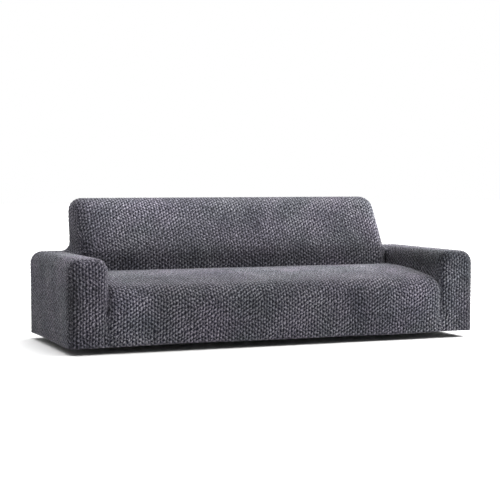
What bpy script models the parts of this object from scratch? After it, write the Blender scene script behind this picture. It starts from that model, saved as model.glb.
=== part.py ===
"""Fitted bi-stretch cover for a long three-seater sofa.

The cover is nine sewn panels around a hollow: nothing of the sofa is built.
X runs along the sofa, Y towards its rear and Z up. The model's origin is the
point under the cloth of the back's top, at mid length, where the sofa holds it.
Inside the functions heights are measured from the hem and places from the
middle of the footprint; the empty "sofa_top" carries the shift between the two.

The covered sofa is described as one smooth field, negative inside, built from
the arms, the back, the seat and the rear wall. Each panel is a grid of guide
points on the sharp-edged sofa, drawn onto the field's surface, where edges are
rounded and inner corners bridged as stretched cloth bridges them.
"""
import math

import bpy
import numpy as np

# ---- driving dimensions, metres -------------------------------------------------
LENGTH = 2.43            # over both arms
DEPTH = 0.922            # arm front to rear wall
ARM_HEIGHT = 0.469       # hem to arm top
ARM_WIDTH = 0.222
ARM_SECTION_RADIUS = 0.070   # long edges along the arm
ARM_END_RADIUS = 0.055       # edges round the arm's front and rear faces

BACK_LENGTH = 1.956
BACK_TOP = 0.775         # hem to the top of the back
BACK_FOOT = 0.172        # y of the back's front face, upright between seat and arm top
BACK_BEND = 0.050        # height over which it turns into the recline at arm height
BACK_RECLINE = math.radians(32.5)
BACK_REAR_LEAN = 0.050   # how far the rear face leans out from hem to top
BACK_SECTION_RADIUS = 0.060
BACK_SIDE_RADIUS = 0.075
BACK_CROWN = 0.012       # the front face swells this much at its middle

SEAT_REAR_HEIGHT = 0.366
SEAT_FALL = 0.038        # drop of the seat half a metre in front of its high line
SEAT_HIGH_LINE = 0.15    # y behind which the seat runs level
SEAT_FALL_RUN = 0.50
NOSE_RADIUS = 0.090      # roll of the seat's front edge
NOSE_REACH = 0.017       # the roll stands this far in front of the arm fronts
NOSE_HEIGHT = 0.232      # height of the roll's centre
SEAT_SIDE_RADIUS = 0.035     # soft edge of the seat along arms and back
SEAT_CLEARANCE = 0.004   # seat cushion to arm and back

REAR_RADIUS = 0.055      # edges round the rear wall
NOTCH_DEPTH = 0.060      # how far behind the back's face the cloth can be pushed in
NOTCH_FILLS = (0.200, 0.380)     # y over which the arm's inner edge flattens out

CREASE_FILLET = 0.010    # cloth tucked between seat, arms and back
CREASE_DEPTH = 0.014     # depth of that tuck below the seat
CORNER_FILLET = 0.030    # between the inner arm and the back's front face
CORNER_SPAN = (0.86, 0.93)   # shares of the inner width over which that fillet grows
ARM_BACK_FILLET = 0.056  # cloth bridging from arm top to the back's end
VALLEY_DEPTH_LOW = 0.004     # between arm front and apron, near the hem
VALLEY_DEPTH_HIGH = 0.045    # the same beside the seat's roll
VALLEY_HEIGHTS = (0.06, 0.33)

CLOTH = 0.003            # thickness of the puckered cloth
SEAM_GAP = 0.0003        # between sewn neighbours
SAME_PLACE = 0.0001      # panels share the points that are nearer together than this
CLOTH_COLOUR = (0.085, 0.085, 0.095)

# ---- derived places -------------------------------------------------------------
X_OUT = LENGTH / 2
X_IN = X_OUT - ARM_WIDTH
X_BACK = BACK_LENGTH / 2
Y_FRONT = -DEPTH / 2
Y_REAR = DEPTH / 2
NOSE_FRONT = Y_FRONT - NOSE_REACH
NOSE_CENTRE = NOSE_FRONT + NOSE_RADIUS

# ---- hem: where the lower edge is drawn up a little -------------------------------
HEM_PULLS = (
    # x, y, half width, rise
    (-0.52, -0.461, 0.42, 0.006),
    (0.30, -0.461, 0.30, 0.003),
    (1.05, -0.461, 0.15, 0.003),
    (-1.215, 0.10, 0.25, 0.004),
    (1.215, -0.05, 0.30, 0.005),
    (-0.40, 0.461, 0.35, 0.005),
    (0.65, 0.461, 0.28, 0.004),
)

# ---- stations of the grids ------------------------------------------------------
APRON_HEIGHTS = (0.0, 0.050, 0.100, 0.145, 0.190, NOSE_HEIGHT)
ROLL_ANGLES = tuple(math.radians(a) for a in (22, 44, 66, 85))
ARM_ROW = 3              # apron row where the crease passes behind the arm's front edge
SEAT_STATIONS = (-0.350, -0.270, -0.190, -0.110, -0.030, 0.050, 0.105, 0.140)
WALL_SHARES = (0.0, 0.3, 0.6, 0.8, 1.0)
ARM_TOP_OFFSETS = (0.0, 0.022, 0.060, 0.110, 0.160, 0.198, ARM_WIDTH)
REAR_SHARES = (0.0, 0.12, 0.34, 0.62, 0.84, 0.94, 1.0)
BACK_SHARES = (0.0, 0.09, 0.24, 0.44, 0.64, 0.81, 0.93, 1.0)
EDGE_OFFSETS = (0.0, 0.018, 0.045, 0.090)
CORNER_COLUMNS = ((-3, 0.45), (-2, 0.78))    # back panel columns drawn towards the arm crease
MIDDLE_COLUMNS = 24


# ---- the covered sofa as a field ------------------------------------------------
def round_max(fields, radius):
    """Where all the fields hold, with the shared edges rounded to a radius."""
    stack = np.stack(np.broadcast_arrays(*fields))
    outside = np.maximum(stack + radius, 0.0)
    return np.minimum(stack.max(axis=0), -radius) + np.sqrt((outside ** 2).sum(axis=0))


def round_min(first, second, radius):
    """Where either field holds, with a hollow fillet where the two meet."""
    reach = np.sqrt(np.maximum(radius - first, 0.0) ** 2 + np.maximum(radius - second, 0.0) ** 2)
    return np.maximum(np.minimum(first, second), radius) - reach


def smooth_step(value, low, high):
    share = np.clip((value - low) / (high - low), 0.0, 1.0)
    return share * share * (3.0 - 2.0 * share)


def back_front(z):
    """y of the back's front face at a height."""
    above = z - ARM_HEIGHT
    return BACK_FOOT + 0.5 * (above + np.hypot(above, BACK_BEND)) * math.tan(BACK_RECLINE)


def back_rear(z):
    """y of the rear wall at a height."""
    return Y_REAR + BACK_REAR_LEAN * smooth_step(z, 0.6 * ARM_HEIGHT, BACK_TOP)


def seat_top(y):
    """Height of the seat at a depth, before its front roll."""
    run = np.maximum(SEAT_HIGH_LINE - y, 0.0) / SEAT_FALL_RUN
    return SEAT_REAR_HEIGHT - SEAT_FALL * run ** 2


def valley_front(z):
    """y of the bottom of the valley between arm front and apron at a height."""
    return Y_FRONT + VALLEY_DEPTH_LOW + VALLEY_DEPTH_HIGH * smooth_step(z, *VALLEY_HEIGHTS)


def arm_field(x, y, z):
    across = np.abs(x)
    section = round_max((across - X_OUT, X_IN - across, z - ARM_HEIGHT), ARM_SECTION_RADIUS)
    return round_max((section, Y_FRONT - y), ARM_END_RADIUS)


def rear_wall_field(x, y, z):
    """Rear wall between the arms, and the bottom of the notches beside the back."""
    reach = np.abs(x) - X_IN - ARM_SECTION_RADIUS
    sunk = 0.5 * NOTCH_DEPTH * (1.0 - smooth_step(y, *NOTCH_FILLS))
    return np.maximum(np.maximum(reach, z - ARM_HEIGHT + sunk), BACK_FOOT + NOTCH_DEPTH - y)


def back_field(x, y, z):
    crown = BACK_CROWN * np.clip(1.0 - (x / X_BACK) ** 2, 0.0, 1.0)
    front = (back_front(z) - crown - y) * math.cos(BACK_RECLINE)
    section = round_max((front, z - BACK_TOP), BACK_SECTION_RADIUS)
    return round_max((section, np.abs(x) - X_BACK), BACK_SIDE_RADIUS)


def seat_field(x, y, z):
    lean = NOSE_REACH * np.clip(z / NOSE_HEIGHT, 0.0, 1.0)
    section = round_max((Y_FRONT - lean - y, z - seat_top(y)), NOSE_RADIUS)
    side = np.abs(x) - (X_IN - SEAT_CLEARANCE)
    rear = (y - back_front(z) + SEAT_CLEARANCE + BACK_CROWN) * math.cos(BACK_RECLINE)
    return round_max((section, side, rear), SEAT_SIDE_RADIUS)


def bridge_field(x, y, z):
    """Cloth stretched across the valley between arm front and apron, and over the
    bottom of the creases round the seat."""
    under_seat = z - seat_top(y) + CREASE_DEPTH
    return np.maximum(np.maximum(np.abs(x) - X_IN - ARM_END_RADIUS, valley_front(z) - y), under_seat)


def sofa_field(x, y, z):
    body = round_min(arm_field(x, y, z), seat_field(x, y, z), CREASE_FILLET)
    body = np.minimum(body, bridge_field(x, y, z))
    body = np.minimum(body, rear_wall_field(x, y, z))
    beside = smooth_step(np.abs(x) / X_IN, *CORNER_SPAN)
    low = CREASE_FILLET + (CORNER_FILLET - CREASE_FILLET) * beside
    fillet = low + (ARM_BACK_FILLET - low) * smooth_step(z, SEAT_REAR_HEIGHT, ARM_HEIGHT)
    body = round_min(body, back_field(x, y, z), fillet)
    return round_max((body, y - back_rear(z)), REAR_RADIUS)


def slope(field, points, step=1e-5):
    """The field's gradient at each point."""
    columns = []
    for axis in np.eye(3) * step:
        columns.append((field(*(points + axis).T) - field(*(points - axis).T)) / (2 * step))
    return np.stack(columns, axis=1)


def draw_onto_sofa(guides, rounds=12):
    """Move points along the slope until they lie on the surface."""
    points = np.array(guides, float)
    for _ in range(rounds):
        gradient = slope(sofa_field, points)
        steepness = (gradient ** 2).sum(axis=1)
        points -= gradient * (sofa_field(*points.T) / steepness)[:, None]
    return points


def settle(guides, first, second, rounds=20):
    """Slide points along the surface into the crease between two bodies, where one
    is as far away as the other."""
    points = np.array(guides, float)
    for _ in range(rounds):
        lean = slope(first, points) - slope(second, points)
        offset = first(*points.T) - second(*points.T)
        points -= 0.7 * lean * (offset / np.maximum((lean ** 2).sum(axis=1), 0.2))[:, None]
        points = draw_onto_sofa(points, rounds=2)
    return points


def hem_height(x, y):
    """Height of the lower edge at a place on the outline."""
    height = 0.0
    for pull_x, pull_y, half_width, rise in HEM_PULLS:
        height += rise * math.exp(-(math.hypot(x - pull_x, y - pull_y) / half_width) ** 2)
    return height


# ---- guide points, shared by the panels that meet there ---------------------------
def seat_rows():
    """(y, z) of the seat panel's rows, from the hem over the roll to the back."""
    rows = [(Y_FRONT - NOSE_REACH * z / NOSE_HEIGHT, z) for z in APRON_HEIGHTS]
    for angle in ROLL_ANGLES:
        rows.append((NOSE_CENTRE - NOSE_RADIUS * math.cos(angle),
                     NOSE_HEIGHT + NOSE_RADIUS * math.sin(angle)))
    rows += [(y, float(seat_top(y))) for y in SEAT_STATIONS]
    rows.append((back_front(SEAT_REAR_HEIGHT), SEAT_REAR_HEIGHT))
    return rows


def columns_between(half):
    """x of the columns from one end to the other, closer together at the ends."""
    ends = [-half + offset for offset in EDGE_OFFSETS]
    inner = half - EDGE_OFFSETS[-1]
    middle = [inner * (2 * k / MIDDLE_COLUMNS - 1) for k in range(1, MIDDLE_COLUMNS)]
    return ends + middle + [-x for x in reversed(ends)]


def arm_back_crease():
    """Right side: up the inner arm beside the back, then to the rear along its end."""
    points = []
    for share in WALL_SHARES[:-1]:
        z = CORNER_HEIGHT + (ARM_HEIGHT - CORNER_HEIGHT) * share
        points.append((X_IN - CREASE_FILLET, CORNER_Y + (TOP_CORNER - CORNER_Y) * share, z))
    for share in REAR_SHARES:
        y = TOP_CORNER + (back_rear(ARM_HEIGHT) - TOP_CORNER) * share
        points.append((X_BACK + CREASE_FILLET, y, ARM_HEIGHT + CREASE_FILLET))
    return settle(points, arm_field, back_field)


def seat_side_crease():
    """Right side: from the hem up the valley beside the arm's front, then along the
    inner arm to the corner at the back."""
    points = [(X_IN, float(valley_front(z)), z) for z in APRON_HEIGHTS]
    radius = NOSE_RADIUS - CREASE_DEPTH
    for angle in ROLL_ANGLES:
        z = NOSE_HEIGHT + radius * math.sin(angle)
        points.append((X_IN, max(NOSE_CENTRE - radius * math.cos(angle), float(valley_front(z))), z))
    points += [(X_IN, y, float(seat_top(y)) - CREASE_DEPTH) for y in SEAT_STATIONS]
    crease = np.vstack([settle(points, arm_field, seat_field), ARM_BACK_CREASE[:1]])
    crease[0, 2] = 0.0
    return crease


def seat_back_crease():
    """From the left corner to the right one, along the foot of the back."""
    points = [(x, back_front(CORNER_HEIGHT), CORNER_HEIGHT) for x in SEAT_COLUMNS[1:-1]]
    corner = ARM_BACK_CREASE[:1]
    return np.vstack([corner * (-1, 1, 1), settle(points, seat_field, back_field), corner])


def arm_front_edge():
    """Right arm's inner front edge, from where the seat's crease leaves it to the top."""
    start = SEAT_SIDE_CREASE[ARM_ROW]
    inset = 0.3 * ARM_END_RADIUS
    points = [tuple(start)]
    for share in WALL_SHARES[1:-1]:
        points.append((X_IN + inset, Y_FRONT + inset, start[2] + (ARM_HEIGHT - start[2]) * share))
    points.append((X_IN, Y_FRONT, ARM_HEIGHT))
    return np.array(points)


ROWS = seat_rows()
SEAT_COLUMNS = columns_between(X_IN)
BACK_COLUMNS = columns_between(X_BACK)
WALLS = len(WALL_SHARES) - 1
ROLL_END = len(APRON_HEIGHTS) + len(ROLL_ANGLES) - 1     # last row of the front roll
CORNER_HEIGHT = SEAT_REAR_HEIGHT - 0.5 * CREASE_DEPTH
CORNER_Y = BACK_FOOT + CORNER_FILLET
TOP_CORNER = back_front(ARM_HEIGHT) + 2.5 * CREASE_FILLET
ARM_BACK_CREASE = arm_back_crease()
SEAT_SIDE_CREASE = seat_side_crease()
SEAT_BACK_CREASE = seat_back_crease()
ARM_FRONT_EDGE = arm_front_edge()
FEET = SEAT_SIDE_CREASE[ARM_ROW:]        # foot of the inner arm, station by station


def between(low, high, shares):
    return [low + (high - low) * share for share in shares]


SIDE_HEIGHTS = list(APRON_HEIGHTS[:ARM_ROW]) + between(FEET[0][2], ARM_HEIGHT, WALL_SHARES)
BACK_HEIGHTS = between(ARM_HEIGHT, BACK_TOP, BACK_SHARES)


# ---- panels as grids of guide points ----------------------------------------------
def seat_guides():
    grid = np.array([[(x, y, z) for y, z in ROWS] for x in SEAT_COLUMNS])
    grid[-1] = SEAT_SIDE_CREASE
    grid[0] = SEAT_SIDE_CREASE * (-1, 1, 1)
    grid[:, -1] = SEAT_BACK_CREASE
    return grid, None


def back_inner_guides():
    tops = between(back_front(BACK_TOP), float(back_rear(BACK_TOP)), REAR_SHARES[1:])
    grid = []
    for index, (x_low, x_high) in enumerate(zip(SEAT_COLUMNS, BACK_COLUMNS)):
        foot = SEAT_BACK_CREASE[index]
        column = [tuple(foot)]
        column += [(x_low, back_front(z), z) for z in between(foot[2], ARM_HEIGHT, WALL_SHARES[1:-1])]
        column += [(x_high, back_front(z), z) for z in BACK_HEIGHTS]
        column += [(x_high, y, BACK_TOP) for y in tops]
        grid.append(column)
    grid = np.array(grid)
    wall = slice(1, WALLS)
    grid[-1, :WALLS + 1] = ARM_BACK_CREASE[:WALLS + 1]
    for column, share in CORNER_COLUMNS:
        grid[column, wall] += (grid[-1, wall] - grid[column, wall]) * share
        grid[column, wall, 0] = grid[-1, wall, 0] - EDGE_OFFSETS[-1] * (1.0 - share)
    grid[:4, :WALLS + 1] = grid[:-5:-1, :WALLS + 1] * (-1, 1, 1)
    return grid, None


def back_outer_guides():
    wing = [X_OUT - offset for offset in ARM_TOP_OFFSETS[:-1]]
    columns = wing + BACK_COLUMNS[::-1] + [-x for x in reversed(wing)]
    heights = SIDE_HEIGHTS + BACK_HEIGHTS[1:]
    grid = np.array([[(x, float(back_rear(z)), z) for z in heights] for x in columns])
    arm_top = len(SIDE_HEIGHTS) - 1
    grid[len(wing), arm_top] = ARM_BACK_CREASE[-1]
    grid[-1 - len(wing), arm_top] = ARM_BACK_CREASE[-1] * (-1, 1, 1)
    keep = np.ones((len(columns) - 1, len(heights) - 1), bool)
    keep[:len(wing), arm_top:] = False
    keep[-len(wing):, arm_top:] = False
    return grid, keep


def arm_guides():
    """Right arm: rows run from the front edge to the rear, columns from the outer hem
    up, over the top and down the inner wall. Behind the back's face there is no wall."""
    turned = ROLL_END - ARM_ROW
    stations = between(Y_FRONT, FEET[turned][1], [k / turned for k in range(turned)])
    stations += list(FEET[turned:-1, 1]) + list(ARM_BACK_CREASE[WALLS:, 1])
    at_back = len(FEET) - 1
    grid = []
    for index, y in enumerate(stations):
        foot_y, foot = FEET[min(index, at_back), 1:]
        row = [(X_OUT, y, z) for z in SIDE_HEIGHTS]
        row += [(X_OUT - offset, y, ARM_HEIGHT) for offset in ARM_TOP_OFFSETS[1:]]
        for share in reversed(WALL_SHARES[:-1]):
            row.append((X_IN, y + (foot_y - y) * (1.0 - share) ** 2, foot + (ARM_HEIGHT - foot) * share))
        grid.append(row)
    grid = np.array(grid)
    grid[-1, :, 1] = back_rear(grid[-1, :, 2])
    grid[0, -WALLS - 1:] = ARM_FRONT_EDGE[::-1]
    grid[:at_back + 1, -1] = FEET
    grid[at_back, -WALLS - 1:] = ARM_BACK_CREASE[WALLS::-1]
    grid[at_back:, -WALLS - 1] = ARM_BACK_CREASE[WALLS:]
    keep = np.ones((len(grid) - 1, len(grid[0]) - 1), bool)
    keep[at_back:, -WALLS:] = False
    return grid, keep


def arm_front_guides():
    """Right arm's front: columns from the inner to the outer edge, rows upwards."""
    columns = [X_OUT - offset for offset in reversed(ARM_TOP_OFFSETS)]
    grid = np.array([[(x, Y_FRONT, z) for z in SIDE_HEIGHTS] for x in columns])
    grid[0, :ARM_ROW] = SEAT_SIDE_CREASE[:ARM_ROW]
    grid[0, ARM_ROW:] = ARM_FRONT_EDGE
    return grid, None


def back_side_guides():
    """Right end of the back: columns from front to rear, rows from arm top upwards."""
    columns = []
    for z in BACK_HEIGHTS:
        depths = between(back_front(z), float(back_rear(z)), REAR_SHARES)
        columns.append([(X_BACK, y, z) for y in depths])
    grid = np.array(columns).transpose(1, 0, 2)
    grid[:, 0] = ARM_BACK_CREASE[WALLS:]
    return grid, None


# ---- from guides to closed sheets -------------------------------------------------
def kept_quads(shape, keep):
    rows, columns = shape
    quads = []
    for i in range(rows - 1):
        for j in range(columns - 1):
            if keep is None or keep[i, j]:
                quads.append((i * columns + j, (i + 1) * columns + j,
                              (i + 1) * columns + j + 1, i * columns + j + 1))
    return quads


def rim_of(quads):
    """Directed edges that only one quad has: each start point with its end point."""
    edges = {(q[k], q[(k + 1) % 4]) for q in quads for k in range(4)}
    return {a: b for a, b in edges if (b, a) not in edges}


def spread(guides, keep):
    """A panel's points on the sofa, its quads, and a key for each point by which
    neighbours know that they share it."""
    flat = guides.reshape(-1, 3).copy()
    for guide in flat:
        if guide[2] == 0.0:
            guide[2] = hem_height(guide[0], guide[1])
    points = draw_onto_sofa(flat)
    keys = [tuple(key) for key in np.round(points / SAME_PLACE).astype(int)]
    return points, kept_quads(guides.shape[:2], keep), keys


def shared_normals(panels):
    """Mean face normal round each point, over all the panels that meet there."""
    sums = {}
    for points, quads, keys in panels.values():
        for quad in quads:
            a, b, c, d = points[list(quad)]
            normal = np.cross(c - a, d - b)
            normal /= np.linalg.norm(normal)
            for vertex in quad:
                sums[keys[vertex]] = sums.get(keys[vertex], 0.0) + normal
    return {key: total / np.linalg.norm(total) for key, total in sums.items()}


def pull_back_rim(points, normals, rim):
    """Move the rim into the panel by half a seam gap, mitred at its corners."""
    moved = points.copy()
    before = {b: a for a, b in rim.items()}
    for vertex, after in rim.items():
        inward = []
        for start, end in ((before[vertex], vertex), (vertex, after)):
            along = points[end] - points[start]
            inward_edge = np.cross(normals[vertex], along / np.linalg.norm(along))
            inward.append(inward_edge / np.linalg.norm(inward_edge))
        mitre = (inward[0] + inward[1]) / (1.0 + inward[0] @ inward[1])
        moved[vertex] += 0.5 * SEAM_GAP * mitre
    return moved


def cloth_material(name):
    material = bpy.data.materials.new(name)
    material.use_nodes = True
    shader = material.node_tree.nodes["Principled BSDF"]
    shader.inputs["Base Color"].default_value = (*CLOTH_COLOUR, 1.0)
    shader.inputs["Roughness"].default_value = 0.9
    shader.inputs["Metallic"].default_value = 0.0
    return material


def mirror(guides, keep):
    """The same grid for the left side, its first axis turned round to face outwards."""
    return guides[::-1] * (-1.0, 1.0, 1.0), None if keep is None else keep[::-1]


def make_panel(name, panel, normals, parent):
    """One panel: the drawn-on outer face, a second face a cloth's thickness inside
    it, and the cut edge between the two."""
    points, quads, keys = panel
    rim = rim_of(quads)
    used = sorted({v for quad in quads for v in quad})
    order = {v: k for k, v in enumerate(used)}
    inner = len(used)
    inward = {v: normals[keys[v]] for v in used}
    pulled = pull_back_rim(points, inward, rim)
    outer_points = pulled[used]
    vertices = np.vstack([outer_points, outer_points - CLOTH * np.array([inward[v] for v in used])])
    faces = [tuple(order[v] for v in quad) for quad in quads]
    faces += [tuple(order[v] + inner for v in reversed(quad)) for quad in quads]
    for a, b in rim.items():
        # neighbours split the cut edge along the same diagonal
        start, end = order[a], order[b]
        if keys[a] < keys[b]:
            faces += [(end, start, end + inner), (start, start + inner, end + inner)]
        else:
            faces += [(end, start, start + inner), (end, start + inner, end + inner)]
    mesh = bpy.data.meshes.new(name)
    mesh.from_pydata(vertices.tolist(), [], faces)
    mesh.validate()
    mesh.shade_smooth()
    mesh.set_sharp_from_angle(angle=math.radians(40))
    mesh.materials.append(cloth_material(name + "_cloth"))
    sheet = bpy.data.objects.new(name, mesh)
    sheet.parent = parent
    bpy.context.scene.collection.objects.link(sheet)


def build_cover():
    for old in list(bpy.data.objects):
        bpy.data.objects.remove(old, do_unlink=True)
    holder = bpy.data.objects.new("sofa_top", None)
    top_middle = 0.5 * (back_front(BACK_TOP) + float(back_rear(BACK_TOP)))
    holder.location = (0.0, -top_middle, CLOTH - BACK_TOP)
    bpy.context.scene.collection.objects.link(holder)

    panels = {"seat_panel": spread(*seat_guides()),
              "back_inner": spread(*back_inner_guides()),
              "back_outer": spread(*back_outer_guides())}
    for name, panel in (("arm", arm_guides()), ("arm_front", arm_front_guides()),
                        ("back_side", back_side_guides())):
        panels[name + "_right"] = spread(*panel)
        panels[name + "_left"] = spread(*mirror(*panel))
    normals = shared_normals(panels)
    for name, panel in panels.items():
        make_panel(name, panel, normals, holder)


build_cover()
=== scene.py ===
"""Fitted puckered stretch cover for a long sofa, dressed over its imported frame.

Each of the nine panels is one closed sheet of cloth. Its outer face lies on the same
smooth form as the frame's solid, densely enough to carry the cloth's puckers as real
relief; its inner face is plain and 3 mm further in.
"""
import math

import bpy
import numpy as np
from mathutils import Euler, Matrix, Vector
from mathutils.kdtree import KDTree


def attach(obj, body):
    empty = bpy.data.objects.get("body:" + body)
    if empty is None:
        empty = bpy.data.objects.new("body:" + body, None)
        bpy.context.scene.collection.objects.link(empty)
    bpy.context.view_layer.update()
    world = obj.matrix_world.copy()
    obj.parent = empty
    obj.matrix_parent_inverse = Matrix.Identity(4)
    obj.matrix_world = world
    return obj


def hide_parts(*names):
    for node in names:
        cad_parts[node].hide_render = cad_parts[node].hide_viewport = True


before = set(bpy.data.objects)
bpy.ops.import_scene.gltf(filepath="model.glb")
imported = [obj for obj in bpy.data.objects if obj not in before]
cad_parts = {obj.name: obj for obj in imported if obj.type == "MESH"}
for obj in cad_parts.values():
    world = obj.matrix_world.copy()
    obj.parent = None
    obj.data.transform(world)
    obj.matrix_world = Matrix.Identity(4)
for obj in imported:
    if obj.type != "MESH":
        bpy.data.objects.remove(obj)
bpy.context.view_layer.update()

# ---- driving dimensions, metres -------------------------------------------------
LENGTH = 2.43            # over both arms
DEPTH = 0.922            # arm front to rear wall
ARM_HEIGHT = 0.469       # hem to arm top
ARM_WIDTH = 0.222
ARM_SECTION_RADIUS = 0.070   # long edges along the arm
ARM_END_RADIUS = 0.055       # edges round the arm's front and rear faces

BACK_LENGTH = 1.956
BACK_TOP = 0.775         # hem to the top of the back
BACK_FOOT = 0.172        # y of the back's front face, upright between seat and arm top
BACK_BEND = 0.050        # height over which it turns into the recline at arm height
BACK_RECLINE = math.radians(32.5)
BACK_REAR_LEAN = 0.050   # how far the rear face leans out from hem to top
BACK_SECTION_RADIUS = 0.060
BACK_SIDE_RADIUS = 0.075
BACK_CROWN = 0.012       # the front face swells this much at its middle

SEAT_REAR_HEIGHT = 0.366
SEAT_FALL = 0.038        # drop of the seat half a metre in front of its high line
SEAT_HIGH_LINE = 0.15    # y behind which the seat runs level
SEAT_FALL_RUN = 0.50
NOSE_RADIUS = 0.090      # roll of the seat's front edge
NOSE_REACH = 0.017       # the roll stands this far in front of the arm fronts
NOSE_HEIGHT = 0.232      # height of the roll's centre
SEAT_SIDE_RADIUS = 0.035     # soft edge of the seat along arms and back
SEAT_CLEARANCE = 0.004   # seat cushion to arm and back

REAR_RADIUS = 0.055      # edges round the rear wall
NOTCH_DEPTH = 0.060      # how far behind the back's face the cloth can be pushed in
NOTCH_FILLS = (0.200, 0.380)     # y over which the arm's inner edge flattens out

CREASE_FILLET = 0.010    # cloth tucked between seat, arms and back
CREASE_DEPTH = 0.014     # depth of that tuck below the seat
CORNER_FILLET = 0.030    # between the inner arm and the back's front face
CORNER_SPAN = (0.86, 0.93)   # shares of the inner width over which that fillet grows
ARM_BACK_FILLET = 0.056  # cloth bridging from arm top to the back's end
VALLEY_DEPTH_LOW = 0.004     # between arm front and apron, near the hem
VALLEY_DEPTH_HIGH = 0.045    # the same beside the seat's roll
VALLEY_HEIGHTS = (0.06, 0.33)

CLOTH = 0.003            # thickness of the puckered cloth
SEAM_GAP = 0.0003        # between sewn neighbours

# ---- derived places -------------------------------------------------------------
X_OUT = LENGTH / 2
X_IN = X_OUT - ARM_WIDTH
X_BACK = BACK_LENGTH / 2
Y_FRONT = -DEPTH / 2
Y_REAR = DEPTH / 2
NOSE_FRONT = Y_FRONT - NOSE_REACH
NOSE_CENTRE = NOSE_FRONT + NOSE_RADIUS

# ---- hem: where the lower edge is drawn up a little -------------------------------
HEM_PULLS = (
    # x, y, half width, rise
    (-0.52, -0.461, 0.42, 0.006),
    (0.30, -0.461, 0.30, 0.003),
    (1.05, -0.461, 0.15, 0.003),
    (-1.215, 0.10, 0.25, 0.004),
    (1.215, -0.05, 0.30, 0.005),
    (-0.40, 0.461, 0.35, 0.005),
    (0.65, 0.461, 0.28, 0.004),
)

# ---- stations of the grids ------------------------------------------------------
APRON_HEIGHTS = (0.0, 0.050, 0.100, 0.145, 0.190, NOSE_HEIGHT)
ROLL_ANGLES = tuple(math.radians(a) for a in (22, 44, 66, 85))
ARM_ROW = 3              # apron row where the crease passes behind the arm's front edge
SEAT_STATIONS = (-0.350, -0.270, -0.190, -0.110, -0.030, 0.050, 0.105, 0.140)
WALL_SHARES = (0.0, 0.3, 0.6, 0.8, 1.0)
ARM_TOP_OFFSETS = (0.0, 0.022, 0.060, 0.110, 0.160, 0.198, ARM_WIDTH)
REAR_SHARES = (0.0, 0.12, 0.34, 0.62, 0.84, 0.94, 1.0)
BACK_SHARES = (0.0, 0.09, 0.24, 0.44, 0.64, 0.81, 0.93, 1.0)
EDGE_OFFSETS = (0.0, 0.018, 0.045, 0.090)
CORNER_COLUMNS = ((-3, 0.45), (-2, 0.78))    # back panel columns drawn towards the arm crease
MIDDLE_COLUMNS = 24


# ---- the covered sofa as a field ------------------------------------------------
def round_max(fields, radius):
    """Where all the fields hold, with the shared edges rounded to a radius."""
    stack = np.stack(np.broadcast_arrays(*fields))
    outside = np.maximum(stack + radius, 0.0)
    return np.minimum(stack.max(axis=0), -radius) + np.sqrt((outside ** 2).sum(axis=0))


def round_min(first, second, radius):
    """Where either field holds, with a hollow fillet where the two meet."""
    reach = np.sqrt(np.maximum(radius - first, 0.0) ** 2 + np.maximum(radius - second, 0.0) ** 2)
    return np.maximum(np.minimum(first, second), radius) - reach


def smooth_step(value, low, high):
    share = np.clip((value - low) / (high - low), 0.0, 1.0)
    return share * share * (3.0 - 2.0 * share)


def back_front(z):
    """y of the back's front face at a height."""
    above = z - ARM_HEIGHT
    return BACK_FOOT + 0.5 * (above + np.hypot(above, BACK_BEND)) * math.tan(BACK_RECLINE)


def back_rear(z):
    """y of the rear wall at a height."""
    return Y_REAR + BACK_REAR_LEAN * smooth_step(z, 0.6 * ARM_HEIGHT, BACK_TOP)


def seat_top(y):
    """Height of the seat at a depth, before its front roll."""
    run = np.maximum(SEAT_HIGH_LINE - y, 0.0) / SEAT_FALL_RUN
    return SEAT_REAR_HEIGHT - SEAT_FALL * run ** 2


def valley_front(z):
    """y of the bottom of the valley between arm front and apron at a height."""
    return Y_FRONT + VALLEY_DEPTH_LOW + VALLEY_DEPTH_HIGH * smooth_step(z, *VALLEY_HEIGHTS)


def arm_field(x, y, z):
    across = np.abs(x)
    section = round_max((across - X_OUT, X_IN - across, z - ARM_HEIGHT), ARM_SECTION_RADIUS)
    return round_max((section, Y_FRONT - y), ARM_END_RADIUS)


def rear_wall_field(x, y, z):
    """Rear wall between the arms, and the bottom of the notches beside the back."""
    reach = np.abs(x) - X_IN - ARM_SECTION_RADIUS
    sunk = 0.5 * NOTCH_DEPTH * (1.0 - smooth_step(y, *NOTCH_FILLS))
    return np.maximum(np.maximum(reach, z - ARM_HEIGHT + sunk), BACK_FOOT + NOTCH_DEPTH - y)


def back_field(x, y, z):
    crown = BACK_CROWN * np.clip(1.0 - (x / X_BACK) ** 2, 0.0, 1.0)
    front = (back_front(z) - crown - y) * math.cos(BACK_RECLINE)
    section = round_max((front, z - BACK_TOP), BACK_SECTION_RADIUS)
    return round_max((section, np.abs(x) - X_BACK), BACK_SIDE_RADIUS)


def seat_field(x, y, z):
    lean = NOSE_REACH * np.clip(z / NOSE_HEIGHT, 0.0, 1.0)
    section = round_max((Y_FRONT - lean - y, z - seat_top(y)), NOSE_RADIUS)
    side = np.abs(x) - (X_IN - SEAT_CLEARANCE)
    rear = (y - back_front(z) + SEAT_CLEARANCE + BACK_CROWN) * math.cos(BACK_RECLINE)
    return round_max((section, side, rear), SEAT_SIDE_RADIUS)


def bridge_field(x, y, z):
    """Cloth stretched across the valley between arm front and apron, and over the
    bottom of the creases round the seat."""
    under_seat = z - seat_top(y) + CREASE_DEPTH
    return np.maximum(np.maximum(np.abs(x) - X_IN - ARM_END_RADIUS, valley_front(z) - y), under_seat)


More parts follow.
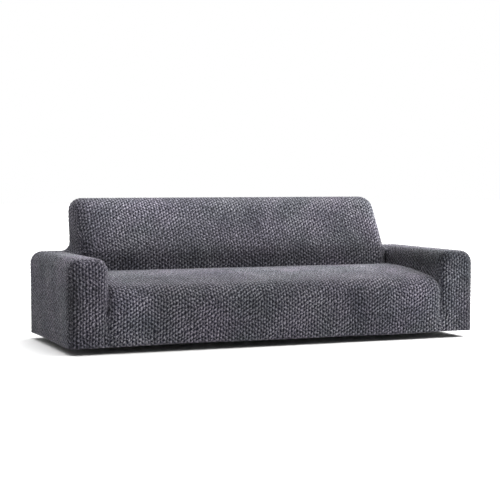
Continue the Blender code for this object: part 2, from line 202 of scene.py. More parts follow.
def sofa_field(x, y, z):
    body = round_min(arm_field(x, y, z), seat_field(x, y, z), CREASE_FILLET)
    body = np.minimum(body, bridge_field(x, y, z))
    body = np.minimum(body, rear_wall_field(x, y, z))
    beside = smooth_step(np.abs(x) / X_IN, *CORNER_SPAN)
    low = CREASE_FILLET + (CORNER_FILLET - CREASE_FILLET) * beside
    fillet = low + (ARM_BACK_FILLET - low) * smooth_step(z, SEAT_REAR_HEIGHT, ARM_HEIGHT)
    body = round_min(body, back_field(x, y, z), fillet)
    return round_max((body, y - back_rear(z)), REAR_RADIUS)


def slope(field, points, step=1e-5):
    """The field's gradient at each point."""
    columns = []
    for axis in np.eye(3) * step:
        columns.append((field(*(points + axis).T) - field(*(points - axis).T)) / (2 * step))
    return np.stack(columns, axis=1)


def draw_onto_sofa(guides, rounds=12):
    """Move points along the slope until they lie on the surface."""
    points = np.array(guides, float)
    for _ in range(rounds):
        gradient = slope(sofa_field, points)
        steepness = (gradient ** 2).sum(axis=1)
        points -= gradient * (sofa_field(*points.T) / steepness)[:, None]
    return points


def settle(guides, first, second, rounds=20):
    """Slide points along the surface into the crease between two bodies, where one
    is as far away as the other."""
    points = np.array(guides, float)
    for _ in range(rounds):
        lean = slope(first, points) - slope(second, points)
        offset = first(*points.T) - second(*points.T)
        points -= 0.7 * lean * (offset / np.maximum((lean ** 2).sum(axis=1), 0.2))[:, None]
        points = draw_onto_sofa(points, rounds=2)
    return points


def hem_height(x, y):
    """Height of the lower edge at a place on the outline."""
    height = 0.0
    for pull_x, pull_y, half_width, rise in HEM_PULLS:
        height += rise * math.exp(-(math.hypot(x - pull_x, y - pull_y) / half_width) ** 2)
    return height


# ---- guide points, shared by the panels that meet there ---------------------------
def seat_rows():
    """(y, z) of the seat panel's rows, from the hem over the roll to the back."""
    rows = [(Y_FRONT - NOSE_REACH * z / NOSE_HEIGHT, z) for z in APRON_HEIGHTS]
    for angle in ROLL_ANGLES:
        rows.append((NOSE_CENTRE - NOSE_RADIUS * math.cos(angle),
                     NOSE_HEIGHT + NOSE_RADIUS * math.sin(angle)))
    rows += [(y, float(seat_top(y))) for y in SEAT_STATIONS]
    rows.append((back_front(SEAT_REAR_HEIGHT), SEAT_REAR_HEIGHT))
    return rows


def columns_between(half):
    """x of the columns from one end to the other, closer together at the ends."""
    ends = [-half + offset for offset in EDGE_OFFSETS]
    inner = half - EDGE_OFFSETS[-1]
    middle = [inner * (2 * k / MIDDLE_COLUMNS - 1) for k in range(1, MIDDLE_COLUMNS)]
    return ends + middle + [-x for x in reversed(ends)]


def arm_back_crease():
    """Right side: up the inner arm beside the back, then to the rear along its end."""
    points = []
    for share in WALL_SHARES[:-1]:
        z = CORNER_HEIGHT + (ARM_HEIGHT - CORNER_HEIGHT) * share
        points.append((X_IN - CREASE_FILLET, CORNER_Y + (TOP_CORNER - CORNER_Y) * share, z))
    for share in REAR_SHARES:
        y = TOP_CORNER + (back_rear(ARM_HEIGHT) - TOP_CORNER) * share
        points.append((X_BACK + CREASE_FILLET, y, ARM_HEIGHT + CREASE_FILLET))
    return settle(points, arm_field, back_field)


def seat_side_crease():
    """Right side: from the hem up the valley beside the arm's front, then along the
    inner arm to the corner at the back."""
    points = [(X_IN, float(valley_front(z)), z) for z in APRON_HEIGHTS]
    radius = NOSE_RADIUS - CREASE_DEPTH
    for angle in ROLL_ANGLES:
        z = NOSE_HEIGHT + radius * math.sin(angle)
        points.append((X_IN, max(NOSE_CENTRE - radius * math.cos(angle), float(valley_front(z))), z))
    points += [(X_IN, y, float(seat_top(y)) - CREASE_DEPTH) for y in SEAT_STATIONS]
    crease = np.vstack([settle(points, arm_field, seat_field), ARM_BACK_CREASE[:1]])
    crease[0, 2] = 0.0
    return crease


def seat_back_crease():
    """From the left corner to the right one, along the foot of the back."""
    points = [(x, back_front(CORNER_HEIGHT), CORNER_HEIGHT) for x in SEAT_COLUMNS[1:-1]]
    corner = ARM_BACK_CREASE[:1]
    return np.vstack([corner * (-1, 1, 1), settle(points, seat_field, back_field), corner])


def arm_front_edge():
    """Right arm's inner front edge, from where the seat's crease leaves it to the top."""
    start = SEAT_SIDE_CREASE[ARM_ROW]
    inset = 0.3 * ARM_END_RADIUS
    points = [tuple(start)]
    for share in WALL_SHARES[1:-1]:
        points.append((X_IN + inset, Y_FRONT + inset, start[2] + (ARM_HEIGHT - start[2]) * share))
    points.append((X_IN, Y_FRONT, ARM_HEIGHT))
    return np.array(points)


ROWS = seat_rows()
SEAT_COLUMNS = columns_between(X_IN)
BACK_COLUMNS = columns_between(X_BACK)
WALLS = len(WALL_SHARES) - 1
ROLL_END = len(APRON_HEIGHTS) + len(ROLL_ANGLES) - 1     # last row of the front roll
CORNER_HEIGHT = SEAT_REAR_HEIGHT - 0.5 * CREASE_DEPTH
CORNER_Y = BACK_FOOT + CORNER_FILLET
TOP_CORNER = back_front(ARM_HEIGHT) + 2.5 * CREASE_FILLET
ARM_BACK_CREASE = arm_back_crease()
SEAT_SIDE_CREASE = seat_side_crease()
SEAT_BACK_CREASE = seat_back_crease()
ARM_FRONT_EDGE = arm_front_edge()
FEET = SEAT_SIDE_CREASE[ARM_ROW:]        # foot of the inner arm, station by station


def between(low, high, shares):
    return [low + (high - low) * share for share in shares]


SIDE_HEIGHTS = list(APRON_HEIGHTS[:ARM_ROW]) + between(FEET[0][2], ARM_HEIGHT, WALL_SHARES)
BACK_HEIGHTS = between(ARM_HEIGHT, BACK_TOP, BACK_SHARES)


# ---- panels as grids of guide points ----------------------------------------------
def seat_guides():
    grid = np.array([[(x, y, z) for y, z in ROWS] for x in SEAT_COLUMNS])
    grid[-1] = SEAT_SIDE_CREASE
    grid[0] = SEAT_SIDE_CREASE * (-1, 1, 1)
    grid[:, -1] = SEAT_BACK_CREASE
    return grid, None


def back_inner_guides():
    tops = between(back_front(BACK_TOP), float(back_rear(BACK_TOP)), REAR_SHARES[1:])
    grid = []
    for index, (x_low, x_high) in enumerate(zip(SEAT_COLUMNS, BACK_COLUMNS)):
        foot = SEAT_BACK_CREASE[index]
        column = [tuple(foot)]
        column += [(x_low, back_front(z), z) for z in between(foot[2], ARM_HEIGHT, WALL_SHARES[1:-1])]
        column += [(x_high, back_front(z), z) for z in BACK_HEIGHTS]
        column += [(x_high, y, BACK_TOP) for y in tops]
        grid.append(column)
    grid = np.array(grid)
    wall = slice(1, WALLS)
    grid[-1, :WALLS + 1] = ARM_BACK_CREASE[:WALLS + 1]
    for column, share in CORNER_COLUMNS:
        grid[column, wall] += (grid[-1, wall] - grid[column, wall]) * share
        grid[column, wall, 0] = grid[-1, wall, 0] - EDGE_OFFSETS[-1] * (1.0 - share)
    grid[:4, :WALLS + 1] = grid[:-5:-1, :WALLS + 1] * (-1, 1, 1)
    return grid, None


def back_outer_guides():
    wing = [X_OUT - offset for offset in ARM_TOP_OFFSETS[:-1]]
    columns = wing + BACK_COLUMNS[::-1] + [-x for x in reversed(wing)]
    heights = SIDE_HEIGHTS + BACK_HEIGHTS[1:]
    grid = np.array([[(x, float(back_rear(z)), z) for z in heights] for x in columns])
    arm_top = len(SIDE_HEIGHTS) - 1
    grid[len(wing), arm_top] = ARM_BACK_CREASE[-1]
    grid[-1 - len(wing), arm_top] = ARM_BACK_CREASE[-1] * (-1, 1, 1)
    keep = np.ones((len(columns) - 1, len(heights) - 1), bool)
    keep[:len(wing), arm_top:] = False
    keep[-len(wing):, arm_top:] = False
    return grid, keep


def arm_guides():
    """Right arm: rows run from the front edge to the rear, columns from the outer hem
    up, over the top and down the inner wall. Behind the back's face there is no wall."""
    turned = ROLL_END - ARM_ROW
    stations = between(Y_FRONT, FEET[turned][1], [k / turned for k in range(turned)])
    stations += list(FEET[turned:-1, 1]) + list(ARM_BACK_CREASE[WALLS:, 1])
    at_back = len(FEET) - 1
    grid = []
    for index, y in enumerate(stations):
        foot_y, foot = FEET[min(index, at_back), 1:]
        row = [(X_OUT, y, z) for z in SIDE_HEIGHTS]
        row += [(X_OUT - offset, y, ARM_HEIGHT) for offset in ARM_TOP_OFFSETS[1:]]
        for share in reversed(WALL_SHARES[:-1]):
            row.append((X_IN, y + (foot_y - y) * (1.0 - share) ** 2, foot + (ARM_HEIGHT - foot) * share))
        grid.append(row)
    grid = np.array(grid)
    grid[-1, :, 1] = back_rear(grid[-1, :, 2])
    grid[0, -WALLS - 1:] = ARM_FRONT_EDGE[::-1]
    grid[:at_back + 1, -1] = FEET
    grid[at_back, -WALLS - 1:] = ARM_BACK_CREASE[WALLS::-1]
    grid[at_back:, -WALLS - 1] = ARM_BACK_CREASE[WALLS:]
    keep = np.ones((len(grid) - 1, len(grid[0]) - 1), bool)
    keep[at_back:, -WALLS:] = False
    return grid, keep


def arm_front_guides():
    """Right arm's front: columns from the inner to the outer edge, rows upwards."""
    columns = [X_OUT - offset for offset in reversed(ARM_TOP_OFFSETS)]
    grid = np.array([[(x, Y_FRONT, z) for z in SIDE_HEIGHTS] for x in columns])
    grid[0, :ARM_ROW] = SEAT_SIDE_CREASE[:ARM_ROW]
    grid[0, ARM_ROW:] = ARM_FRONT_EDGE
    return grid, None


def back_side_guides():
    """Right end of the back: columns from front to rear, rows from arm top upwards."""
    columns = []
    for z in BACK_HEIGHTS:
        depths = between(back_front(z), float(back_rear(z)), REAR_SHARES)
        columns.append([(X_BACK, y, z) for y in depths])
    grid = np.array(columns).transpose(1, 0, 2)
    grid[:, 0] = ARM_BACK_CREASE[WALLS:]
    return grid, None


# ---- puckers of the cloth -----------------------------------------------------------
COLUMN_PITCH = 0.0170    # between neighbouring columns of puckers
PUFF_LENGTH = 0.0225     # from one pucker to the next in a column
RELIEF = 0.0040          # pit to crest
PIT_SHARE = 0.45         # share of the relief that lies below the solid's face
CRUMPLE = 0.00035        # unevenness from point to point
CRUMPLE_LIMIT = 2.0      # no point is uneven by more than this many times that
# size of each smooth shift of the puckers, with its shortest and longest wave
SHIFTS_ACROSS = ((0.0014, 0.070, 0.180), (0.0010, 0.030, 0.060))
SHIFTS_ALONG = ((0.0016, 0.070, 0.180), (0.0019, 0.025, 0.045))
LEAN = 0.28              # weight that passes from one slanting set of waves to the other
LEAN_GROWTH = 1.3        # how fast it reaches that weight
LEAN_WAVES = (0.12, 0.40)
LIVELINESS = 0.36        # how much the puckers differ in steepness
LIVELY_WAVES = (0.014, 0.030)

# weights of the three sets of waves (column, rising, falling), and the flanks' steepness
SEAT_RIDGES = (1.2, 1.0, 1.0, 10.0)
BACK_RIDGES = (1.2, 1.0, 1.0, 4.6)
UPRIGHT = (1.4, 1.0, 1.0, 5.6)
RISING = (1.1, 1.3, 0.9, 5.6)

# ---- calm cloth at the seams and the hem ----------------------------------------------
SEAM_CALM = (-0.001, 0.004)  # distances from a seam over which the puckers rise
SEAM_SINK = 0.0005       # depth of the dip at a seam
SEAM_PULL = 0.0035       # half width of that dip
SEAM_PUFF = 0.3          # a seam has the painted shade of this height on a pucker
INNER_PUFF = 0.5         # and the plain inner face has the colour of this one
HEM_TOP = 0.012          # the rim below this height is the hem, and above it a seam
HEM_LEVEL = 0.004        # how far the hem is drawn up, on the whole
HEM_BAND = 0.016         # from the hem to the groove of its stitching
HEM_RISE = (0.6 * HEM_BAND, 1.4 * HEM_BAND)  # heights over which the puckers rise
HEM_RELIEF = 0.55        # share of the relief that the hem's band has
HEM_REGAIN = 0.45        # and the share that comes back above it
HEM_GROOVE = 0.0006      # depth of the groove
HEM_GROOVE_WIDTH = 0.003     # its half width

# ---- sampling of the sheets -----------------------------------------------------------
SAMPLE = (0.0046, 0.0048)    # spacing of the outer face's points, across and along
FINE_SAMPLE = (0.0036, 0.0039)
INNER_STRIDE = 3         # the inner face has every third line
DENSE_ROUNDS = 5         # the dense points start near the sofa's surface
NORMAL_EASING = 6        # times that the relief's directions are averaged
SHARP_ANGLE = math.radians(65)

# painted light and painted shade: patches where the cloth's colour is made lighter or darker to stand in
# for how the light falls there
PAINTED_LIGHT_AND_SHADE_PATCHES = (
    # middle x, y, z from the hem's level; reach in x, y, z; gain
    (-0.87, -0.47, 0.20, 0.11, 0.20, 0.18, 0.70),     # apron beside the left arm
    (-0.66, -0.47, 0.26, 0.12, 0.20, 0.10, -0.20),    # apron, a little further in
    (0.84, -0.47, 0.18, 0.22, 0.20, 0.14, 0.56),      # apron beside the right arm
    (1.10, -0.46, 0.30, 0.14, 0.10, 0.16, 0.22),      # right arm's front, high up
    (-1.20, -0.46, 0.24, 0.040, 0.06, 0.22, -0.60),   # left arm's outer front edge
    (-1.10, -0.25, 0.48, 0.15, 0.35, 0.05, 0.52),     # left arm's top
    (0.00, 0.17, 0.42, 1.30, 0.14, 0.10, -0.40),      # foot of the back
    (-0.70, 0.38, 0.72, 0.45, 0.30, 0.13, 0.32),      # top of the back, left
    (0.98, 0.33, 0.62, 0.07, 0.30, 0.22, 0.80),       # right edge of the back
    (0.99, -0.08, 0.43, 0.075, 0.50, 0.070, -0.66),   # right arm's inner wall
    (1.12, -0.10, 0.475, 0.10, 0.45, 0.010, 0.35),    # right arm's top
    (1.21, -0.45, 0.16, 0.06, 0.12, 0.22, -0.40),     # right arm's outer front edge
    (-0.94, 0.28, 0.68, 0.07, 0.30, 0.16, -0.22),     # left edge of the back
    (-1.06, 0.12, 0.49, 0.14, 0.22, 0.06, 0.28),      # left arm's top, at the rear
    (0.00, -0.06, 0.37, 1.20, 0.26, 0.04, 0.60),      # top of the seat
)

# from the hem's level to the part's origin, under the top of the back
TO_MOUNT = np.array([0.0, -0.5 * (back_front(BACK_TOP) + float(back_rear(BACK_TOP))), CLOTH - BACK_TOP])


class Waves:
    """Smooth noise over a panel, as a sum of seeded waves."""

    def __init__(self, seed, shortest, longest, count=14):
        rng = np.random.default_rng(seed)
        length = np.exp(rng.uniform(math.log(shortest), math.log(longest), count))
        angle = rng.uniform(0.0, math.tau, count)
        self.rate = math.tau / length
        self.cos, self.sin = np.cos(angle), np.sin(angle)
        self.phase = rng.uniform(0.0, math.tau, count)
        self.norm = math.sqrt(2.0 / count)

    def __call__(self, u, v):
        total = np.zeros_like(u)
        for rate, cos, sin, phase in zip(self.rate, self.cos, self.sin, self.phase):
            total += np.cos(rate * (u * cos + v * sin) + phase)
        return total * self.norm


def shifted(u, v, seed, shifts):
    """How far the puckers are shifted at each place, each shift with a seed of its own."""
    return sum(size * Waves(seed + k, shortest, longest)(u, v)
               for k, (size, shortest, longest) in enumerate(shifts))


def puckers(u, v, seed, ridges):
    """Height of the puckers from 0 in a pit to 1 on a crest. They stand in staggered
    columns, two to a wave of the slanting sets."""
    column_weight, rising_weight, falling_weight, steepness = ridges
    across = (u + shifted(u, v, seed, SHIFTS_ACROSS)) / (2.0 * COLUMN_PITCH)
    along = (v + shifted(u, v, seed + 2, SHIFTS_ALONG)) / PUFF_LENGTH
    lean = LEAN * np.tanh(LEAN_GROWTH * Waves(seed + 4, *LEAN_WAVES)(u, v))
    lively = 1.0 + LIVELINESS * Waves(seed + 5, *LIVELY_WAVES)(u, v)
    column = column_weight * np.sin(2.0 * math.tau * across)
    rising = (rising_weight + lean) * np.cos(math.tau * (across + along))
    falling = (falling_weight - lean) * np.cos(math.tau * (across - along))
    height = (column + rising + falling) / (column_weight + rising_weight + falling_weight)
    return 1.0 / (1.0 + np.exp(-steepness * height * lively))


def seam_dip(from_seam):
    """Depth of the dip by the distance from a seam."""
    return SEAM_SINK * np.exp(-(from_seam / SEAM_PULL) ** 2)


def relief_of(height, calm, from_seam, above_hem, seed):
    """How far the outer face stands out from the smooth form at each point."""
    hem = HEM_RELIEF + HEM_REGAIN * smooth_step(above_hem, *HEM_RISE)
    rough = np.random.default_rng(seed).standard_normal(len(height))
    crumple = CRUMPLE * np.clip(rough, -CRUMPLE_LIMIT, CRUMPLE_LIMIT)
    relief = (RELIEF * (height - PIT_SHARE) + crumple) * calm * hem
    relief -= seam_dip(from_seam)
    relief -= HEM_GROOVE * np.exp(-((above_hem - HEM_BAND) / HEM_GROOVE_WIDTH) ** 2)
    return relief


def painted_light_and_shade_gains(points):
    """Gain of the colour at each point, from the patches of painted light and painted shade."""
    tone_and_painted_light = np.ones(len(points))
    for patch in PAINTED_LIGHT_AND_SHADE_PATCHES:
        middle, reach, gain = np.array(patch[:3]), np.array(patch[3:6]), patch[6]
        tone_and_painted_light *= 1.0 + gain * np.exp(-(((points - middle) / reach) ** 2).sum(axis=1))
    return tone_and_painted_light


# ---- dense panels -------------------------------------------------------------------
def coarse_points(guides):
    """A panel's guide points drawn onto the sofa, those at height 0 along the hem."""
    flat = guides.reshape(-1, 3).copy()
    for guide in flat:
        if guide[2] == 0.0:
            guide[2] = hem_height(guide[0], guide[1])
    return draw_onto_sofa(flat).reshape(guides.shape)


def dense_lines(points, axis, spacing):
    """For one axis of a grid of points: which two lines each dense line lies between,
    and how far along."""
    steps = np.linalg.norm(np.diff(points, axis=axis), axis=-1)
    mean = steps.mean(axis=1 - axis)
    low, share = [], []
    for index, length in enumerate(mean):
        count = max(1, int(round(length / spacing)))
        low += [index] * count
        share += [k / count for k in range(count)]
    low.append(len(mean) - 1)
    share.append(1.0)
    return np.array(low), np.array(share)


def dense_grid(points, spacing):
    """The points with more lines between them, and the dense lines of either axis."""
    low_u, share_u = dense_lines(points, 0, spacing[0])
    low_v, share_v = dense_lines(points, 1, spacing[1])
    rows = points[low_u] + (points[low_u + 1] - points[low_u]) * share_u[:, None, None]
    grid = rows[:, low_v] + (rows[:, low_v + 1] - rows[:, low_v]) * share_v[None, :, None]
    return grid, (low_u, share_u), (low_v, share_v)


def inner_lines(shares):
    """Dense lines that the inner face has: every third, and each of the guides'."""
    counted = np.arange(len(shares)) % INNER_STRIDE == 0
    return np.flatnonzero(counted | (shares == 0.0) | (shares == 1.0))


def unit(vectors):
    return vectors / np.linalg.norm(vectors, axis=-1, keepdims=True)


def eased(grid, rounds):
    """A grid of vectors with its inner points averaged with their neighbours."""
    grid = grid.copy()
    for _ in range(rounds):
        middle = grid[1:-1, 1:-1]
        around = grid[:-2, 1:-1] + grid[2:, 1:-1] + grid[1:-1, :-2] + grid[1:-1, 2:]
        grid[1:-1, 1:-1] = 0.5 * middle + 0.125 * around
    return grid


def lengths_along(grid, axis):
    """How far along an axis each point is, measured over the cloth: from the panel's
    middle across it, and from its first line along it."""
    steps = np.linalg.norm(np.diff(grid, axis=axis), axis=-1)
    pad = [(0, 0), (0, 0)]
    pad[axis] = (1, 0)
    total = np.pad(np.cumsum(steps, axis=axis), pad)
    return total - total[len(total) // 2] if axis == 0 else total


def grid_quads(keep, rows, columns):
    """Quads of the kept cells between the given lines of a dense grid."""
    i, j = np.meshgrid(np.arange(len(rows) - 1), np.arange(len(columns) - 1), indexing="ij")
    cell = keep[rows[i], columns[j]]
    i, j = i[cell], j[cell]
    width = keep.shape[1] + 1
    a = rows[i] * width + columns[j]
    b = rows[i + 1] * width + columns[j]
    c = rows[i + 1] * width + columns[j + 1]
    d = rows[i] * width + columns[j + 1]
    return np.stack([a, b, c, d], axis=1)


def rim_after(quads):
    """Directed edges that only one quad has: each start point with its end point."""
    start = quads.ravel()
    end = np.roll(quads, -1, axis=1).ravel()
    size = int(quads.max()) + 1
    alone = ~np.isin(start * size + end, end * size + start)
    return dict(zip(start[alone].tolist(), end[alone].tolist()))


def rim_loops(after):
    """The rim's directed edges as closed loops of points."""
    left, loops = set(after), []
    while left:
        loop, here = [], min(left)
        while here in left:
            left.discard(here)
            loop.append(here)
            here = after[here]
        loops.append(loop)
    return loops


def seam_distances(points, loops, used):
    """Distance of each used point from the nearest seam. The hem isn't a seam."""
    seams = [vertex for loop in loops for vertex in loop if points[vertex, 2] > HEM_TOP]
    tree = KDTree(len(seams))
    for index, vertex in enumerate(seams):
        tree.insert(points[vertex], index)
    tree.balance()
    distances = np.ones(len(points))
    distances[used] = [tree.find(point)[2] for point in points[used]]
    return distances


def pull_back(points, normals, loops, distance):
    """Move the rim into the panel along the surface, mitred at its corners."""
    moved = points.copy()
    for loop in loops:
        ring = np.array(loop)
        here, normal = points[ring], normals[ring]
        along = unit(np.roll(here, -1, axis=0) - here)
        after = unit(np.cross(normal, along))
        before = unit(np.cross(normal, np.roll(along, 1, axis=0)))
        mitre = (after + before) / (1.0 + (after * before).sum(axis=1, keepdims=True))
        moved[ring] += distance * mitre
    return moved


def numbered(count, used, first):
    """The mesh's vertex for each of the grid's points, or -1 where it isn't used."""
    numbers = np.full(count, -1)
    numbers[used] = first + np.arange(len(used))
    return numbers


def rim_faces(loops, outer_of, inner_of):
    """Triangles of the cut edge, from the dense outer rim to the inner one."""
    faces = []
    for loop in loops:
        start = next(k for k, vertex in enumerate(loop) if inner_of[vertex] >= 0)
        ring = loop[start:] + loop[:start + 1]
        anchor = inner_of[ring[0]]
        for a, b in zip(ring, ring[1:]):
            faces.append((outer_of[b], outer_of[a], anchor))
            if inner_of[b] >= 0:
                faces.append((outer_of[b], anchor, inner_of[b]))
                anchor = inner_of[b]
    return np.array(faces)


def mesh_of(name, vertices, quads, triangles, places, values):
    """A smooth mesh, with its points' places on the cloth as UVs and its values as
    attributes."""
    mesh = bpy.data.meshes.new(name)
    corners = np.concatenate([quads.ravel(), triangles.ravel()]).astype(np.int32)
    starts = np.concatenate([np.arange(len(quads)) * 4,
                             4 * len(quads) + np.arange(len(triangles)) * 3]).astype(np.int32)
    mesh.vertices.add(len(vertices))
    mesh.vertices.foreach_set("co", vertices.astype(np.float32).ravel())
    mesh.loops.add(len(corners))
    mesh.loops.foreach_set("vertex_index", corners)
    mesh.polygons.add(len(starts))
    mesh.polygons.foreach_set("loop_start", starts)
    mesh.update(calc_edges=True)
    mesh.validate()
    layer = mesh.uv_layers.new(name="cloth_metres")
    layer.data.foreach_set("uv", places[corners].astype(np.float32).ravel())
    for label, value in values.items():
        attribute = mesh.attributes.new(label, "FLOAT", "POINT")
        attribute.data.foreach_set("value", value.astype(np.float32))
    mesh.shade_smooth()
    mesh.set_sharp_from_angle(angle=SHARP_ANGLE)
    return mesh


def make_sheet(name, guides, keep, spacing, seed, ridges, material):
    """One panel as a closed sheet, its outer face puckered."""
    grid, (low_u, share_u), (low_v, share_v) = dense_grid(coarse_points(guides), spacing)
    if keep is None:
        keep = np.ones((guides.shape[0] - 1, guides.shape[1] - 1), bool)
    dense_keep = keep[low_u[:-1]][:, low_v[:-1]]
    outer_quads = grid_quads(dense_keep, np.arange(grid.shape[0]), np.arange(grid.shape[1]))
    inner_quads = grid_quads(dense_keep, inner_lines(share_u), inner_lines(share_v))
    loops = rim_loops(rim_after(outer_quads))
    used, inner_used = np.unique(outer_quads), np.unique(inner_quads)

    # the smooth form, and each point's place on the cloth
    flat = draw_onto_sofa(grid.reshape(-1, 3), rounds=DENSE_ROUNDS)
    normals = unit(slope(sofa_field, flat)).reshape(grid.shape)
    normals = unit(eased(normals, NORMAL_EASING)).reshape(-1, 3)
    u, v = (lengths_along(flat.reshape(grid.shape), axis).ravel() for axis in (0, 1))

    # the two faces
    from_seam = seam_distances(flat, loops, used)
    calm = smooth_step(from_seam, *SEAM_CALM)
    height = puckers(u, v, seed, ridges)
    relief = relief_of(height, calm, from_seam, flat[:, 2] - HEM_LEVEL, seed)
    base = pull_back(flat, normals, loops, 0.5 * SEAM_GAP)
    outer = base + normals * relief[:, None]
    inner = base - normals * (CLOTH + seam_dip(from_seam))[:, None]

    # one closed mesh of both faces and the cut edge
    outer_of = numbered(len(flat), used, 0)
    inner_of = numbered(len(flat), inner_used, len(used))
    edge = rim_faces(loops, outer_of, inner_of)
    quads = np.concatenate([outer_of[outer_quads], inner_of[inner_quads][:, ::-1]])
    vertices = np.concatenate([outer[used], inner[inner_used]]) + TO_MOUNT
    sources = np.concatenate([used, inner_used])
    # the height that sets the painted shade in the pits and the painted light on the crests
    puff = np.concatenate([height[used] * calm[used] + SEAM_PUFF * (1.0 - calm[used]),
                           np.full(len(inner_used), INNER_PUFF)])
    # the patches' gain is painted light and painted shade on the cloth's colour
    values = {"puff": puff, "tone_and_painted_light": painted_light_and_shade_gains(flat[sources])}
    mesh = mesh_of(name, vertices, quads, edge, np.stack([u, v], axis=1)[sources], values)
    mesh.materials.append(material)
    piece = bpy.data.objects.new(name, mesh)
    bpy.context.scene.collection.objects.link(piece)
    return piece


def mirror(guides, keep):
    """The same grid for the left side, its first axis turned round to face outwards."""
    return guides[::-1] * (-1.0, 1.0, 1.0), None if keep is None else keep[::-1]


# ---- nodes of materials and the world -------------------------------------------------
class NodeTree:
    """Adds nodes to a tree. An input is given as a value or as another node's output."""

    def __init__(self, owner):
        owner.use_nodes = True
        self.nodes, self.links = owner.node_tree.nodes, owner.node_tree.links

    def join(self, made, inputs):
        """Set or link a node's inputs."""
        for socket, value in inputs.items():
            if isinstance(value, bpy.types.NodeSocket):
                self.links.new(value, made.inputs[socket])
            else:
                made.inputs[socket].default_value = value

    def node(self, kind, inputs, **settings):
        made = self.nodes.new(kind)
        for key, value in settings.items():
            setattr(made, key, value)
        self.join(made, inputs)
        return made

    def ranged(self, source, stretch, interpolation="LINEAR"):
        """A value carried over from one range to another. stretch = (from low, from high,
        to low, to high)."""
        sockets = ("From Min", "From Max", "To Min", "To Max")
        inputs = {"Value": source, **dict(zip(sockets, stretch))}
        made = self.node("ShaderNodeMapRange", inputs, interpolation_type=interpolation)
        return made.outputs["Result"]

    def ramped(self, source, stops, interpolation="LINEAR"):
        """A colour by a value, between stops of (position, colour)."""
        made = self.node("ShaderNodeValToRGB", {"Fac": source})
        ramp = made.color_ramp
        ramp.interpolation = interpolation
        for index in (0, -1):
            ramp.elements[index].position = stops[index][0]
            ramp.elements[index].color = (*stops[index][1], 1.0)
        for position, colour in stops[1:-1]:
            ramp.elements.new(position).color = (*colour, 1.0)
        return made.outputs["Color"]

    def multiplied(self, colour, factor):
        """A colour times another, or times a tone."""
        inputs = {"Factor": 1.0, "A": colour, "B": factor}
        made = self.node("ShaderNodeMix", inputs, data_type="RGBA", blend_type="MULTIPLY")
        return made.outputs["Result"]


# ---- the cloth's material -------------------------------------------------------------
CLOTH_FINISH = {
    "Roughness": 0.92,
    "Specular IOR Level": 0.25,
    "Sheen Weight": 0.35,
    "Sheen Roughness": 0.18,
    "Sheen Tint": (0.80, 0.80, 0.86, 1.0),
}
# painted shade and painted light: the cloth's colour follows the puckers' height, near black in the pits
# and light on the crests, standing in for the shade and light that fall there
PAINTED_PIT_SHADE = (0.002, 0.002, 0.006)
MIDDLE_COLOUR = (0.041, 0.040, 0.050)
PAINTED_CREST_LIGHT = (0.128, 0.125, 0.140)
PAINTED_RELIEF_SHADES = ((0.05, PAINTED_PIT_SHADE), (0.5, MIDDLE_COLOUR), (0.95, PAINTED_CREST_LIGHT))

MOTTLE_NOISE = {"Scale": 5.0, "Detail": 3.0, "Roughness": 0.55}
MOTTLE_DARK = (0.62, 0.65, 0.68)
MOTTLE_LIGHT = (1.40, 1.36, 1.36)
MOTTLE_TONES = ((0.30, MOTTLE_DARK), (0.70, MOTTLE_LIGHT))

TINT_NOISE = {"Scale": 3.3, "Detail": 2.0}
VIOLET_CAST = (1.025, 0.985, 1.030)
GREEN_CAST = (0.975, 1.015, 0.985)
TINT_TONES = ((0.38, VIOLET_CAST), (0.62, GREEN_CAST))

FLECK_NOISE = {"Scale": 420.0, "Detail": 2.0}
FLECK_TONES = (0.30, 0.70, 0.70, 1.30)

GAP_PITCH = (0.0064, 0.0086)     # between small gaps of the knit, across and along
GAP_PAINTED_SHADE = (0.12, 0.46, 0.05, 1.25)     # painted shade: dark in a gap's middle, light away from it
GAP_SLOPE = (0.0, 0.5, 0.0, 1.0)         # sunk in its middle
LOOP_TONES = (0.0, 1.0, 0.60, 1.35)      # the knit round each gap has its own tone

RIB_WAVES = {"Scale": 150.0, "Distortion": 2.2, "Detail": 2.0, "Detail Scale": 1.5}

GAP_DEPTH = 0.0015       # of the bumps
RIB_DEPTH = 0.0004
FLECK_DEPTH = 0.0004
BUMP_STRENGTH = 0.8


